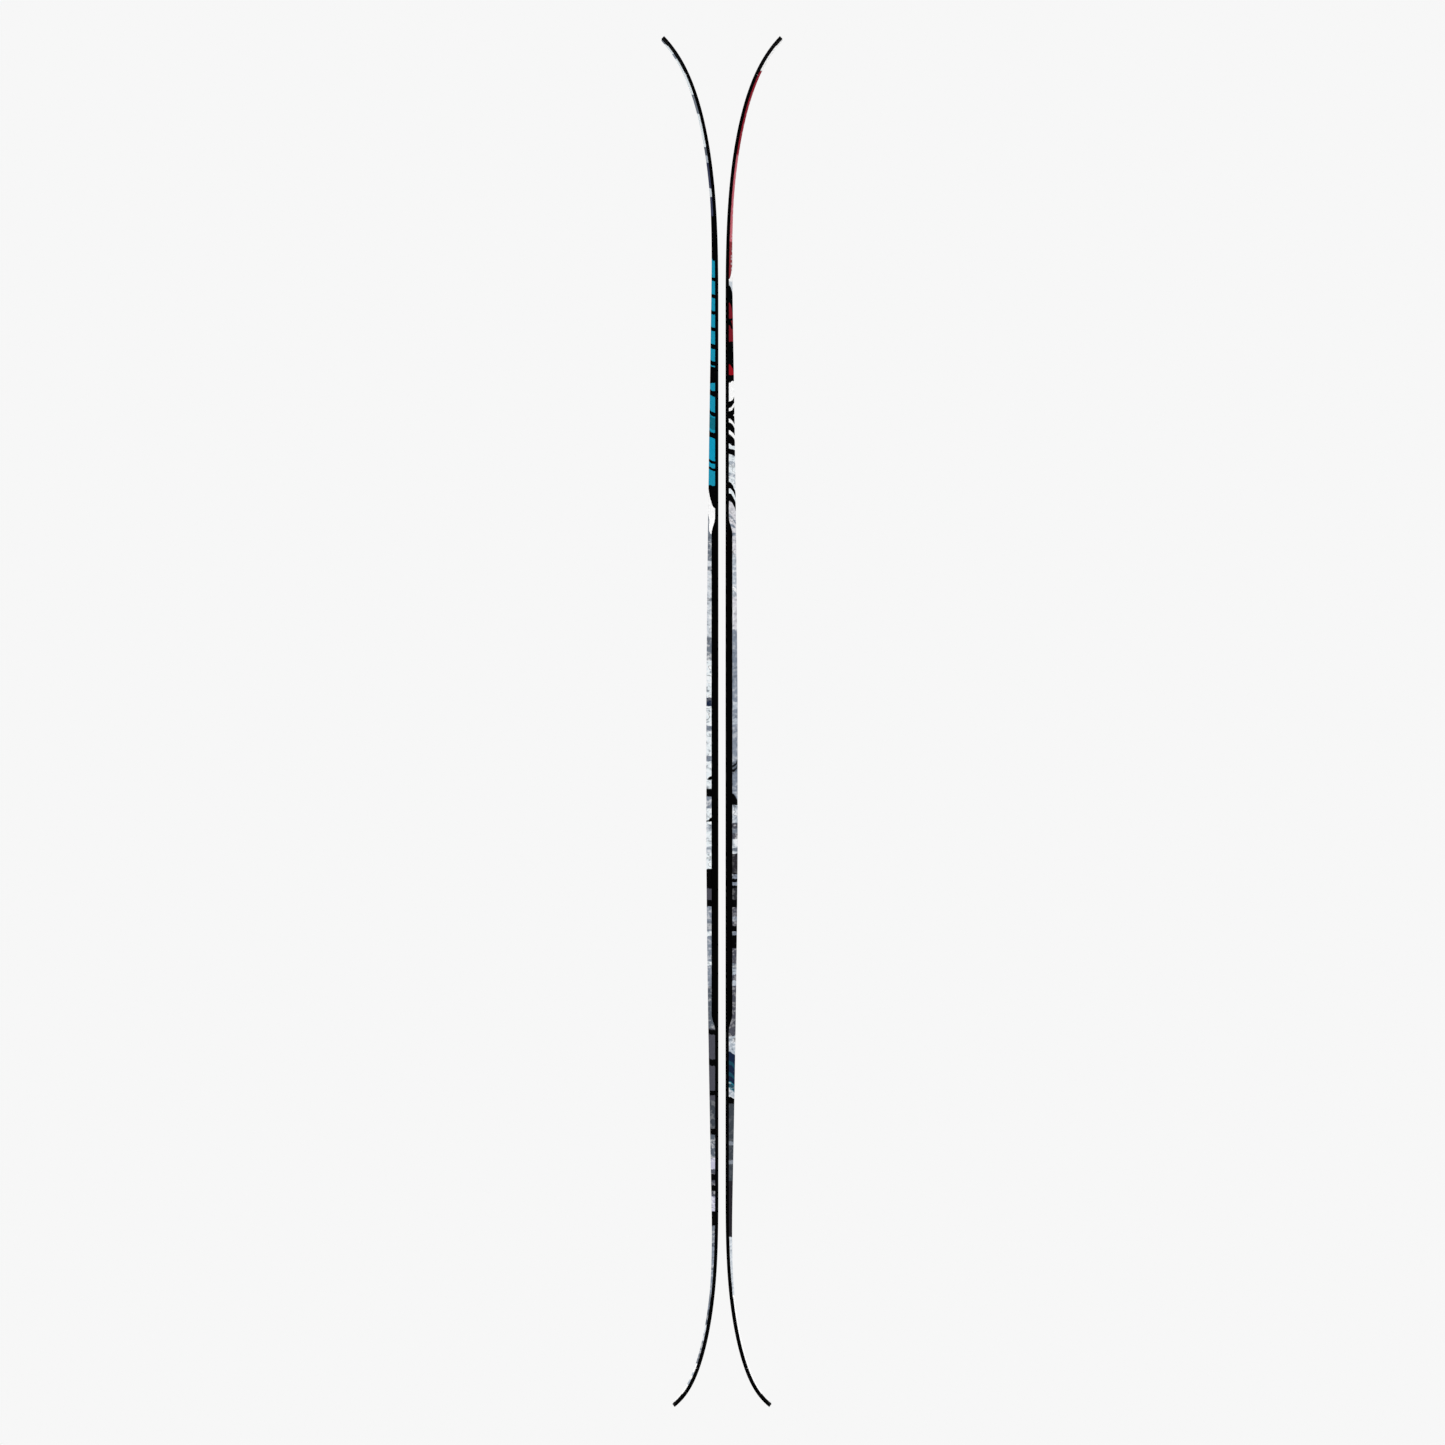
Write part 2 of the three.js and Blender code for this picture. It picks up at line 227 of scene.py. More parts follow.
def nose_stations(half, length, direction):
    """Round one blunt end, from the core cut to the very end. direction is 1 at the tip."""
    widest_at = BASE_LENGTH - length if direction > 0 else length
    start = math.asin(((length - CORE_CUT) / length) ** (NOSE_POWER / 2))
    angle = np.linspace(start, math.pi / 2, NOSE_STEPS + 1)[1:]
    v = np.sin(angle) ** (2 / NOSE_POWER)
    w = half * np.cos(angle)
    w[-1] = 0
    normal_s = NOSE_POWER * v ** (NOSE_POWER - 1) / length
    normal_w = 2 * w / half**2
    size = np.hypot(normal_s, normal_w)
    return [widest_at + direction * length * v, w, direction * normal_s / size, normal_w / size]


def joined(*groups):
    return Stations(*(np.concatenate(lines) for lines in zip(*groups)))


def lines_of(stations):
    return [stations.s, stations.half, stations.inward_s, stations.inward_w]


body_steps = round((BASE_LENGTH - 2 * CORE_CUT) / STATION_STEP)
body = square_stations(np.linspace(CORE_CUT, BASE_LENGTH - CORE_CUT, body_steps + 1))
tip_nose = nose_stations(PLAN["tip"], PLAN["tip_widest"], 1)
tail_nose = [line[::-1] for line in nose_stations(PLAN["tail"], PLAN["tail_widest"], -1)]
whole = joined(tail_nose, lines_of(body), tip_nose)
tip_end = joined(lines_of(square_stations([BASE_LENGTH - CORE_CUT + SEAM])), tip_nose)
tail_end = joined(tail_nose, lines_of(square_stations([CORE_CUT - SEAM])))
under_boot = square_stations(np.linspace(*MAT_ENDS, BOOT_STEPS))


# ---- sections and lofts ----
def rounded(corners, radii):
    """The corners as lines, with each turned into a short curve of about its radius."""
    lines = []
    for k, (corner, radius) in enumerate(zip(corners, radii)):
        if not radius:
            lines.append(corner)
            continue
        before = corners[k - 1] if k else corners[k]
        after = corners[k + 1] if k + 1 < len(corners) else corners[k]
        start, end = toward(corner, before, radius), toward(corner, after, radius)
        for u in np.linspace(0, 1, CORNER_STEPS + 1):
            lines.append((1 - u) ** 2 * start + 2 * u * (1 - u) * corner + u**2 * end)
    return lines


def toward(corner, other, distance):
    step = other - corner
    length = np.maximum(np.linalg.norm(step, axis=0), 1e-9)
    return corner + step * np.minimum(distance / length, 0.45)


def placed(line, side):
    """A line {along, across, level} as points of the right ski, in metres."""
    s, w, t = line
    z = height_at(s)
    slope = slope_at(z)
    length = np.hypot(1, slope)
    x = BASE_GAP / 2 + rise_at(z) + t / length
    return np.stack([x, side * w, z - t * slope / length - RACK_HEIGHT], axis=1) * MM


def spans(front, columns):
    """The ring of a piece that spans the ski, with columns of faces across each wide face."""
    ring = [placed(line, -1) for line in front] + [placed(line, 1) for line in front[::-1]]
    share = np.linspace(0, 1, columns + 1)[1:-1]
    over = [ring[len(front) - 1] * (1 - u) + ring[len(front)] * u for u in share]
    under = [ring[-1] * (1 - u) + ring[0] * u for u in share]
    return ring[: len(front)] + over + ring[len(front):] + under


def one_side(lines, side):
    """The ring of a piece on one side, kept off the centre line where the two sides meet."""
    return [placed(np.array([s, np.maximum(w, SEAM / 2), t]), side) for s, w, t in lines]


SHARP_ANGLE = math.radians(32)
WELD = 2e-6  # metres


def loft(name, ring, mirrored, values=None):
    """A closed smooth mesh through a ring of lines. values are named numbers on the points."""
    grid = np.stack(ring, axis=1)  # station, corner, xyz
    if mirrored:
        grid = grid * [-1, 1, 1]
    stations, corners = grid.shape[:2]
    index = np.arange(stations * corners).reshape(stations, corners)
    after = np.roll(index, -1, axis=1)
    quads = np.stack([index[:-1], index[1:], after[1:], after[:-1]], axis=-1).reshape(-1, 4)
    ends = [row.tolist() for row in (index[0], index[-1])]
    mesh = bpy.data.meshes.new(name)
    mesh.from_pydata(grid.reshape(-1, 3).tolist(), [], quads.tolist() + ends)
    for key, numbers in (values or {}).items():
        mesh.attributes.new(key, "FLOAT", "POINT").data.foreach_set("value", numbers.ravel())
    mesh.update()
    work = bmesh.new()
    work.from_mesh(mesh)
    flat_ends = [f for f in work.faces if len(f.verts) == corners and corners > 4 and is_line(f)]
    bmesh.ops.delete(work, geom=flat_ends, context="FACES_ONLY")
    bmesh.ops.remove_doubles(work, verts=work.verts, dist=WELD)
    bmesh.ops.dissolve_degenerate(work, edges=work.edges, dist=WELD)
    bmesh.ops.recalc_face_normals(work, faces=work.faces)
    for face in work.faces:
        face.smooth = True
    for edge in work.edges:
        edge.smooth = not (edge.is_manifold and edge.calc_face_angle() > SHARP_ANGLE)
    work.to_mesh(mesh)
    work.free()
    piece = bpy.data.objects.new(name, mesh)
    bpy.context.scene.collection.objects.link(piece)
    return piece


def is_line(face):
    """Whether a ring has closed on the centre line, so that it needs no end face."""
    return max(abs(v.co.y) for v in face.verts) < 0.01 * MM


# ---- node helpers ----
def rgb(text):
    """A colour written as six hexadecimal digits, in the linear numbers that nodes take."""
    parts = [int(text[i : i + 2], 16) / 255 for i in (0, 2, 4)]
    return [p / 12.92 if p <= 0.04045 else ((p + 0.055) / 1.055) ** 2.4 for p in parts] + [1]


RAMP_STOPS = 30  # one colour ramp holds 32 at most


class Web:
    """The node tree of one material, with short ways to add to it."""

    def __init__(self, name):
        self.material = bpy.data.materials.new(name)
        self.material.use_nodes = True
        self.tree = self.material.node_tree
        self.tree.nodes.clear()
        self.shader = self.tree.nodes.new("ShaderNodeBsdfPrincipled")
        output = self.tree.nodes.new("ShaderNodeOutputMaterial")
        self.tree.links.new(self.shader.outputs[0], output.inputs[0])

    def put(self, socket, value):
        if isinstance(value, bpy.types.NodeSocket):
            self.tree.links.new(value, socket)
        else:
            socket.default_value = value

    def node(self, kind, inputs=None, out=0, **settings):
        made = self.tree.nodes.new(kind)
        for key, value in settings.items():
            setattr(made, key, value)
        for key, value in (inputs or {}).items():
            self.put(made.inputs[key], value)
        return made.outputs[out]

    def math(self, operation, a, b=0.0, clamp=False):
        return self.node("ShaderNodeMath", {0: a, 1: b}, operation=operation, use_clamp=clamp)

    def product(self, *numbers):
        total = numbers[0]
        for number in numbers[1:]:
            total = self.math("MULTIPLY", total, number)
        return total

    def scaled_sum(self, value, scale, start):
        return self.node("ShaderNodeMath", {0: value, 1: scale, 2: start}, operation="MULTIPLY_ADD")

    def span(self, value, low, high, to_low=0.0, to_high=1.0, smooth=False):
        kind = "SMOOTHSTEP" if smooth else "LINEAR"
        inputs = {0: value, 1: low, 2: high, 3: to_low, 4: to_high}
        return self.node("ShaderNodeMapRange", inputs, interpolation_type=kind)

    def mix(self, share, a, b, how="MIX"):
        made = self.tree.nodes.new("ShaderNodeMix")
        made.data_type, made.blend_type = "RGBA", how
        for key, value in ((0, share), (6, a), (7, b)):
            self.put(made.inputs[key], value)
        return made.outputs[2]

    def place(self):
        return self.node("ShaderNodeTexCoord", out="Object")

    def moved(self, step):
        return self.node("ShaderNodeVectorMath", {0: self.place(), 1: step})

    def scaled(self, scale, turn=(0, 0, 0)):
        return self.node("ShaderNodeMapping", {0: self.place(), "Rotation": turn, "Scale": scale})

    def noise(self, scale, detail=2.0, where=None, rough=0.5):
        inputs = {"Scale": scale, "Detail": detail, "Roughness": rough, "Vector": where or self.place()}
        return self.node("ShaderNodeTexNoise", inputs)

    def set(self, **values):
        """Values for the shader; its sockets are named with underscores for spaces."""
        for key, value in values.items():
            self.put(self.shader.inputs[key.replace("_", " ")], value)

    def bump(self, height, distance, strength=1.0):
        inputs = {"Height": height, "Distance": distance, "Strength": strength}
        self.put(self.shader.inputs["Normal"], self.node("ShaderNodeBump", inputs))

    def attribute(self, name):
        return self.node("ShaderNodeAttribute", attribute_name=name, out="Fac")

    def bands(self, height, stops):
        """A sequence of flat colours. stops are (lowest height, colour), from the tail up."""
        colour = stops[0][1]
        for first in range(0, len(stops), RAMP_STOPS):
            group = stops[first : first + RAMP_STOPS]
            low = group[0][0]
            high = group[-1][0] + 1
            ramp = self.tree.nodes.new("ShaderNodeValToRGB")
            ramp.color_ramp.interpolation = "CONSTANT"
            elements = ramp.color_ramp.elements
            while len(elements) < len(group):
                elements.new(0.5)
            while len(elements) > len(group):
                elements.remove(elements[-1])
            for element, (at, tint) in zip(elements, group):
                element.position = (at - low) / (high - low)
                element.color = tint
            self.put(ramp.inputs[0], self.span(height, low, high))
            colour = self.mix(self.math("GREATER_THAN", height, low), colour, ramp.outputs[0])
        return colour


# ---- the printed art ----
# Each ski's art is a run of fields from the tip down with narrower bars laid over them, all in
# heights above the tail ends.
INKS = {
    "white": "ffffff", "paper": "e6eef2", "mist": "ccd3da", "fog": "b2bbc5", "steel": "868f9d",
    "storm": "767e89", "slate": "5a626d", "graphite": "3c4249", "lead": "4c4c56", "soot": "2b2c30",
    "ink": "010102", "navy": "16243f", "dusk": "3b4058", "lavender": "bdbcd0", "plum": "27252a",
    "haze": "d3d2d8", "teal": "1a93b2", "bright": "1099bd", "deep": "136e80", "abyss": "1b4859",
    "red": "8c2a39", "scarlet": "98121f", "brick": "863a40", "rose": "d27a85", "blush": "eaa0a8",
    "garnet": "7b1b26",
}
INK_COLOURS = {name: rgb(text) for name, text in INKS.items()}


def spread(runs):
    """The bars of each run, evenly spaced from the highest to the lowest."""
    return [
        (middle, thick, ink)
        for high, low, count, thick, ink in runs
        for middle in np.linspace(high, low, count)
    ]


# Fields are (top, ink), to the nearest 5 mm. Runs of bars are (highest, lowest, how many,
# thickness, ink).
LEFT_FIELDS = [
    (1800, "storm"), (1790, "paper"), (1725, "storm"), (1700, "paper"), (1655, "slate"), (1645, "fog"),
    (1635, "dusk"), (1600, "mist"), (1590, "dusk"), (1565, "ink"), (1505, "teal"), (1365, "ink"),
    (1345, "teal"), (1275, "bright"), (1235, "teal"), (1210, "ink"), (1180, "white"), (1145, "storm"),
    (1110, "mist"), (1010, "storm"), (980, "paper"), (810, "ink"), (800, "steel"), (785, "paper"),
    (705, "ink"), (680, "lead"), (665, "ink"), (655, "steel"), (550, "slate"), (495, "lead"),
    (400, "graphite"), (355, "slate"), (325, "lavender"), (310, "lead"), (275, "lavender"),
    (255, "ink"), (235, "storm"), (210, "steel"), (125, "slate"), (105, "mist"), (85, "storm"),
    (55, "white"),
]
LEFT_BARS = spread([
    (1775, 1775, 1, 6, "steel"), (1480, 1370, 6, 5, "ink"), (1330, 1275, 3, 7, "ink"),
    (1290, 1290, 1, 15, "deep"), (1240, 1230, 2, 4, "ink"), (1100, 1060, 2, 4, "storm"),
    (925, 925, 1, 10, "navy"), (890, 850, 2, 8, "steel"), (825, 770, 2, 5, "ink"),
    (760, 730, 2, 8, "fog"), (630, 630, 1, 12, "storm"), (620, 580, 2, 5, "paper"),
    (490, 410, 3, 7, "ink"), (360, 360, 1, 8, "ink"), (300, 285, 2, 8, "ink"),
    (210, 180, 2, 5, "slate"), (140, 140, 1, 15, "storm"), (40, 30, 2, 5, "fog"),
])
RIGHT_FIELDS = [
    (1800, "white"), (1755, "red"), (1645, "rose"), (1530, "brick"), (1480, "ink"), (1450, "garnet"),
    (1430, "ink"), (1420, "garnet"), (1400, "ink"), (1370, "scarlet"), (1355, "ink"), (1345, "white"),
    (1320, "ink"), (1265, "paper"), (1200, "ink"), (1190, "haze"), (1120, "fog"), (1065, "haze"),
    (1020, "steel"), (845, "slate"), (830, "steel"), (805, "ink"), (790, "fog"), (765, "lead"),
    (745, "mist"), (725, "plum"), (700, "ink"), (680, "soot"), (665, "ink"), (655, "lead"),
    (630, "ink"), (600, "lead"), (580, "storm"), (565, "lead"), (485, "fog"), (465, "navy"),
    (425, "deep"), (415, "fog"), (405, "ink"), (395, "graphite"), (295, "plum"), (220, "mist"),
    (145, "white"),
]
RIGHT_BARS = spread([
    (1310, 1280, 3, 5, "white"), (1255, 1210, 2, 8, "ink"), (1240, 1225, 2, 5, "fog"),
    (1170, 1145, 3, 5, "steel"), (1075, 1075, 1, 5, "white"), (920, 900, 2, 8, "fog"),
    (840, 835, 2, 3, "ink"), (755, 730, 2, 5, "storm"), (695, 685, 2, 5, "steel"),
    (640, 620, 2, 5, "steel"), (570, 555, 2, 8, "fog"), (450, 420, 3, 5, "abyss"),
    (345, 320, 2, 5, "storm"),
])

# Stretches are (high, low, number), and the number is 0 outside them.
LEFT_LEANS = [
    (1515, 1482, -12), (1482, 1353, -3), (1335, 1290, -4), (1290, 1209, -2), (1208, 1165, -14),
    (1165, 1120, -16), (840, 820, 8), (775, 765, 8), (620, 600, 3),
]
RIGHT_LEANS = [
    (1455, 1434, 28), (1425, 1412, 20), (1373, 1359, 12), (1345, 1297, -6), (1297, 1262, 6),
    (1262, 1216, 2), (1216, 1150, 7), (1080, 1060, 6), (850, 820, -6), (812, 790, 9), (480, 400, 5),
]
LEFT_SKETCHED = [
    (1140, 1060, 0.6), (1060, 980, 0.7), (980, 872, 0.85), (872, 811, 0.7), (797, 705, 0.7),
    (655, 548, 0.45), (548, 494, 0.4), (398, 356, 0.3), (351, 319, 0.6), (309, 255, 0.6),
    (236, 145, 0.4), (120, 57, 0.5),
]
RIGHT_SKETCHED = [
    (1251, 1214, 0.6), (1181, 1120, 0.55), (1120, 1018, 0.65), (1018, 843, 0.4), (843, 805, 0.4),
    (791, 755, 0.8), (749, 724, 0.8), (724, 566, 0.5), (566, 485, 0.4), (485, 467, 0.7),
    (424, 404, 0.7), (393, 297, 0.1), (222, 150, 0.45),
]
RIGHT_FLUSHED = [(1753, 1481, 1)]
LEFT_BLOCKED = [(1506, 1366, 1), (1342, 1209, 1)]
RIGHT_BLOCKED = [(460, 425, 1)]
BORDERS = [(1820, 1788, 1.4), (1788, 1748, 0.6), (140, 10, 0.6), (10, -20, 1.4)]  # line widths
MOST_LEAN, MOST_BORDER = 30.0, 2.0

# Patches at the front rim: (top, how much the top climbs, bottom, how much it drops, ink).
RIGHT_PATCHES = [(1482, 42, 1479, 0, "white"), (1479, 0, 1474, 22, "mist")]

PRINT_STRETCH, PRINT_START = 1.0022, 2.0  # the print's own heights against the ski's
CAP_SEEN = 9  # distance from the rim over the cap's side, underfoot
BLOCK_WIDE, BLOCK_LINE = 26, 0.09


def stops_of(fields, bars, inks):
    """The fields with the bars laid over them, as (lowest height, colour) from the tail up."""
    edges = {0.0} | {float(top) for top, _ in fields}
    for middle, thick, _ in bars:
        edges |= {middle - thick / 2, middle + thick / 2}
    stops = []
    for low in sorted(edges)[:-1]:
        at = low + 0.01
        name = [ink for top, ink in fields if top > at][-1]
        over = [ink for middle, thick, ink in bars if abs(at - middle) < thick / 2]
        name = over[-1] if over else name
        if not stops or stops[-1][1] != inks[name]:
            stops.append((low, inks[name]))
    return stops


def levels(web, height, stretches, reach=1.0):
    """The number of the stretch that a height is in. reach is the largest number there may be."""
    grey = {number: [0.5 + number / reach / 2] * 3 + [1] for _, _, number in stretches}
    grey[0] = [0.5, 0.5, 0.5, 1]
    runs = [(SKI_LENGTH + 1, 0)]
    for high, low, number in stretches:
        runs += [(high, number), (low, 0)]
    coded = web.node("ShaderNodeRGBToBW", {0: web.bands(height, stops_of(runs, [], grey))})
    return web.math("MULTIPLY", web.math("SUBTRACT", coded, 0.5), 2.0 * reach)


class Sheet:
    """Where a point lies on a topsheet: its height, its distances in from the two rims, and its
    height in the drawing, whose bars curl at the rim, and slant and wander across the top."""

    def __init__(self, web, leans, seed):
        z = web.node("ShaderNodeSeparateXYZ", {0: web.place()}, out=2)
        start = RACK_HEIGHT * PRINT_STRETCH - PRINT_START
        self.height = web.scaled_sum(z, PRINT_STRETCH / MM, start)
        self.front = web.math("MULTIPLY", web.attribute("front"), 1 / MM)
        rear = web.math("MULTIPLY", web.attribute("rear"), 1 / MM)
        self.rim = web.math("MINIMUM", self.front, rear)
        away = web.math("DIVIDE", web.math("MINIMUM", self.front, CAP_SEEN + 3), CAP_SEEN)
        self.away_squared = web.math("MULTIPLY", away, away)

        slow = web.noise(5.5, 1.0, web.moved((seed, 0, 0)))
        self.quick = web.noise(38.0, 3.0, web.moved((0, seed, 0)))
        loose = web.span(self.front, 3, 45, smooth=True)
        slant = web.product(web.math("SUBTRACT", slow, 0.5), 9.0, self.front, loose)
        wander = web.product(web.math("SUBTRACT", self.quick, 0.5), web.span(self.front, 8, 34, 1.5, 60))
        rough_edge = web.math("MULTIPLY", web.math("SUBTRACT", web.noise(260.0, 2.0), 0.5), 3.0)
        lean = levels(web, self.height, leans, MOST_LEAN)
        curl = web.product(lean, self.away_squared, web.span(self.front, 14, 34, 1, 0))
        shift = web.math("ADD", web.math("ADD", slant, wander), web.math("ADD", rough_edge, curl))
        self.drawn = web.math("ADD", self.height, shift)


def flush(web, sheet, colour, stretches):
    """Flushed reds: deep scarlet at the rim, paler outwards, with a coarse screen of pale dots."""
    shown = levels(web, sheet.drawn, stretches)
    deep = web.product(web.span(sheet.front, 5, 0), 0.45, shown)
    colour = web.mix(deep, colour, INK_COLOURS["scarlet"])
    pale = web.product(web.span(sheet.front, 3, 11), 0.5, shown)
    colour = web.mix(pale, colour, INK_COLOURS["blush"])
    dots = web.node("ShaderNodeTexVoronoi", {"Vector": web.place(), "Scale": 230.0}, out="Distance")
    dots = web.product(web.span(dots, 0.45, 0.3), web.span(sheet.front, 2, 4), 0.65, shown)
    return web.mix(dots, colour, INK_COLOURS["haze"])


def sketch(web, sheet, colour, stretches):
    """Washes of paler and darker ink on the paler fields, and pen lines that wander across."""
    bright = web.span(web.node("ShaderNodeRGBToBW", {0: colour}), 0.0, 0.1)
    shown = web.math("MULTIPLY", levels(web, sheet.drawn, stretches), bright)
    wash = web.noise(1.0, 3.0, web.scaled((120, 120, 210), (0.5, 0, 0)), 0.6)
    pale = web.product(web.span(wash, 0.5, 0.62), 0.75, shown)
    colour = web.mix(pale, colour, INK_COLOURS["white"])
    dark = web.product(web.span(wash, 0.46, 0.34), 0.9, shown)
    colour = web.mix(dark, colour, INK_COLOURS["slate"])
    path = web.noise(1.0, 1.0, web.scaled((60, 60, 130), (-0.5, 0, 0)))
    pen = web.span(web.math("ABSOLUTE", web.math("SUBTRACT", path, 0.5)), 0.024, 0.01)
    pen = web.product(pen, web.span(sheet.quick, 0.42, 0.55), 0.85, shown)
    return web.mix(pen, colour, INK_COLOURS["soot"])


def block(web, sheet, colour, stretches):
    """Dark lines that run lengthwise between the cross bars, on the top only."""
    y = web.node("ShaderNodeSeparateXYZ", {0: web.place()}, out=1)
    sway = web.math("MULTIPLY", sheet.quick, 0.5)
    rows = web.math("ADD", web.math("MULTIPLY", y, 1 / MM / BLOCK_WIDE), sway)
    line = web.math("LESS_THAN", web.math("FRACT", rows), BLOCK_LINE)
    line = web.product(line, levels(web, sheet.drawn, stretches), web.span(sheet.front, 14, 15))
    return web.mix(line, colour, INK_COLOURS["ink"])


def border(web, sheet, colour):
    """A black line round both ends."""
    wide = levels(web, sheet.height, BORDERS, MOST_BORDER)
    return web.mix(web.math("LESS_THAN", sheet.rim, wide), colour, INK_COLOURS["ink"])


def patch(web, sheet, colour, high, climb, low, drop, ink):
    """A patch of ink at the front rim. Away from the rim its top climbs and its bottom drops."""
    edge = web.math("ADD", sheet.front, web.math("MULTIPLY", sheet.quick, 10.0))
    near = web.math("LESS_THAN", edge, 14.0)
    under = web.math("LESS_THAN", sheet.height, web.scaled_sum(sheet.away_squared, climb, high))
    over = web.math("GREATER_THAN", sheet.height, web.scaled_sum(sheet.away_squared, -drop, low))
    return web.mix(web.product(under, over, near), colour, INK_COLOURS[ink])


def grain(web, sheet, colour):
    """Fine grain, and painted shade: the top face, away from the rim, darkened in soft random patches
    against the strong light that falls on it.
    """
    face_shade = web.span(web.noise(11.0, 4.0), 0.38, 0.62)
    # Painted shade: from 12 mm past the front rim onwards, the top face is darkened by up to 0.15 in soft
    # patches, to hold down the strong light there.
    face_shade = web.product(web.span(sheet.front, 12, 30), face_shade, 0.15)
    tone = web.math("SUBTRACT", web.span(web.noise(900.0, 2.0), 0.3, 0.7, 0.93, 1.05), face_shade)
    grey = web.node("ShaderNodeCombineColor", {0: tone, 1: tone, 2: tone})
    return web.mix(1.0, colour, grey, "MULTIPLY")


def wear(web, sheet, colour):
    """Rubbed paint along the two rims, and fine scratches over all of it."""
    rub = web.product(web.span(sheet.rim, 0.7, 0.4), web.span(web.noise(160.0, 4.0), 0.6, 0.63), 0.6)
    colour = web.mix(rub, colour, rgb("1a1a1c"))
    scratches = web.span(web.noise(1.0, 2.0, web.scaled((900, 1800, 26), (0.04, 0, 0))), 0.66, 0.74)
    dull = web.span(web.noise(60.0, 3.0), 0.3, 0.7, 0.24, 0.36)
    web.set(Base_Color=colour, Roughness=web.math("ADD", dull, web.math("MULTIPLY", scratches, 0.2)))
    web.bump(web.math("SUBTRACT", web.noise(1400.0, 1.0), scratches), 0.00002, 0.6)


def art(name, fields, bars, leans, sketched, flushed, blocked, patches, seed):
    """The glossy printed plastic of a topsheet."""
    web = Web(name)
    sheet = Sheet(web, leans, seed)
    colour = web.bands(sheet.drawn, stops_of(fields, bars, INK_COLOURS))
    colour = flush(web, sheet, colour, flushed)
    colour = sketch(web, sheet, colour, sketched)
    colour = block(web, sheet, colour, blocked)
    colour = border(web, sheet, colour)
    for shape in patches:
        colour = patch(web, sheet, colour, *shape)
    wear(web, sheet, grain(web, sheet, colour))
    web.set(Coat_Weight=0.08, Coat_Roughness=0.05, Specular_IOR_Level=0.05)
    return web.material


# ---- plain materials ----
INLAY_SLANT, INLAY_PITCH, INLAY_SHARE = 1.6, 46.0, 0.42
INLAY_ENDS = [(1480.0, 1710.0), (190.0, 420.0)]  # lowest and highest slanted height, at tip and tail


def base_material(name, inlay):
    """Sintered polyethylene: fine ground lines along the ski, and slanted inlays at both ends."""
    web = Web(name)
    y, z = (web.node("ShaderNodeSeparateXYZ", {0: web.place()}, out=k) for k in (1, 2))
    ground = web.noise(1.0, 3.0, web.scaled((400, 2600, 9)))
    cloud = web.noise(14.0, 3.0)
    black = web.mix(web.span(cloud, 0.3, 0.7), rgb("0b0c0e"), rgb("17181b"))
    sideways = web.math("MULTIPLY", web.math("ABSOLUTE", y), INLAY_SLANT / MM)
    slanted = web.math("ADD", web.scaled_sum(z, 1 / MM, RACK_HEIGHT), sideways)
    bars = web.math("FRACT", web.math("DIVIDE", slanted, INLAY_PITCH))
    bars = web.math("LESS_THAN", bars, INLAY_SHARE)
    tip, tail = (
        web.product(web.math("GREATER_THAN", slanted, low), web.math("LESS_THAN", slanted, high))
        for low, high in INLAY_ENDS
    )
    shown = web.math("MULTIPLY", bars, web.math("MAXIMUM", tip, tail))
    colour = web.mix(shown, black, web.mix(web.span(cloud, 0.3, 0.7), rgb(inlay), rgb("9aa0a8")))
    colour = web.mix(web.span(ground, 0.62, 0.7, 0.0, 0.25), colour, rgb("3a3c40"))
    web.set(Base_Color=colour, Roughness=web.span(ground, 0.3, 0.7, 0.38, 0.58), Specular_IOR_Level=0.35)
    web.bump(ground, 0.00003, 0.7)
    return web.material


def edge_material():
    """Hardened steel, ground along its length, dark with a few bright worn places."""
    web = Web("edge_steel_look")
    lines = web.noise(1.0, 3.0, web.scaled((3000, 3000, 14)))
    worn = web.span(web.noise(22.0, 4.0), 0.55, 0.75)
    colour = web.mix(worn, rgb("050506"), rgb("0e0f11"))
    colour = web.mix(web.span(lines, 0.5, 0.75, 0.0, 0.4), colour, rgb("17181b"))
    web.set(Base_Color=colour, Metallic=1.0, Roughness=web.span(lines, 0.3, 0.7, 0.28, 0.46))
    web.set(Specular_Tint=(0.25, 0.25, 0.27, 1))
    web.bump(lines, 0.00002, 0.5)
    return web.material


def plastic_material():
    """Black satin sidewall plastic with the faint lines that a shaping plane leaves."""
    web = Web("black_plastic_look")
    planed = web.noise(1.0, 3.0, web.scaled((1500, 1500, 20)))
    cloud = web.noise(30.0, 3.0)
    colour = web.mix(web.span(cloud, 0.35, 0.7), rgb("000000"), rgb("020202"))
    colour = web.mix(web.span(planed, 0.6, 0.75, 0.0, 0.3), colour, rgb("09090a"))
    web.set(Base_Color=colour, Roughness=web.span(planed, 0.3, 0.7, 0.34, 0.46), Specular_IOR_Level=0.03)
    web.bump(planed, 0.00003, 0.5)
    return web.material


def rubber_material():
    web = Web("damping_rubber_look")
    skin = web.noise(700.0, 3.0)
    web.set(Base_Color=web.mix(skin, rgb("020202"), rgb("080808")), Specular_IOR_Level=0.05)
    web.set(Roughness=web.span(skin, 0.3, 0.7, 0.75, 0.95))
    web.bump(skin, 0.00004, 0.6)
    return web.material


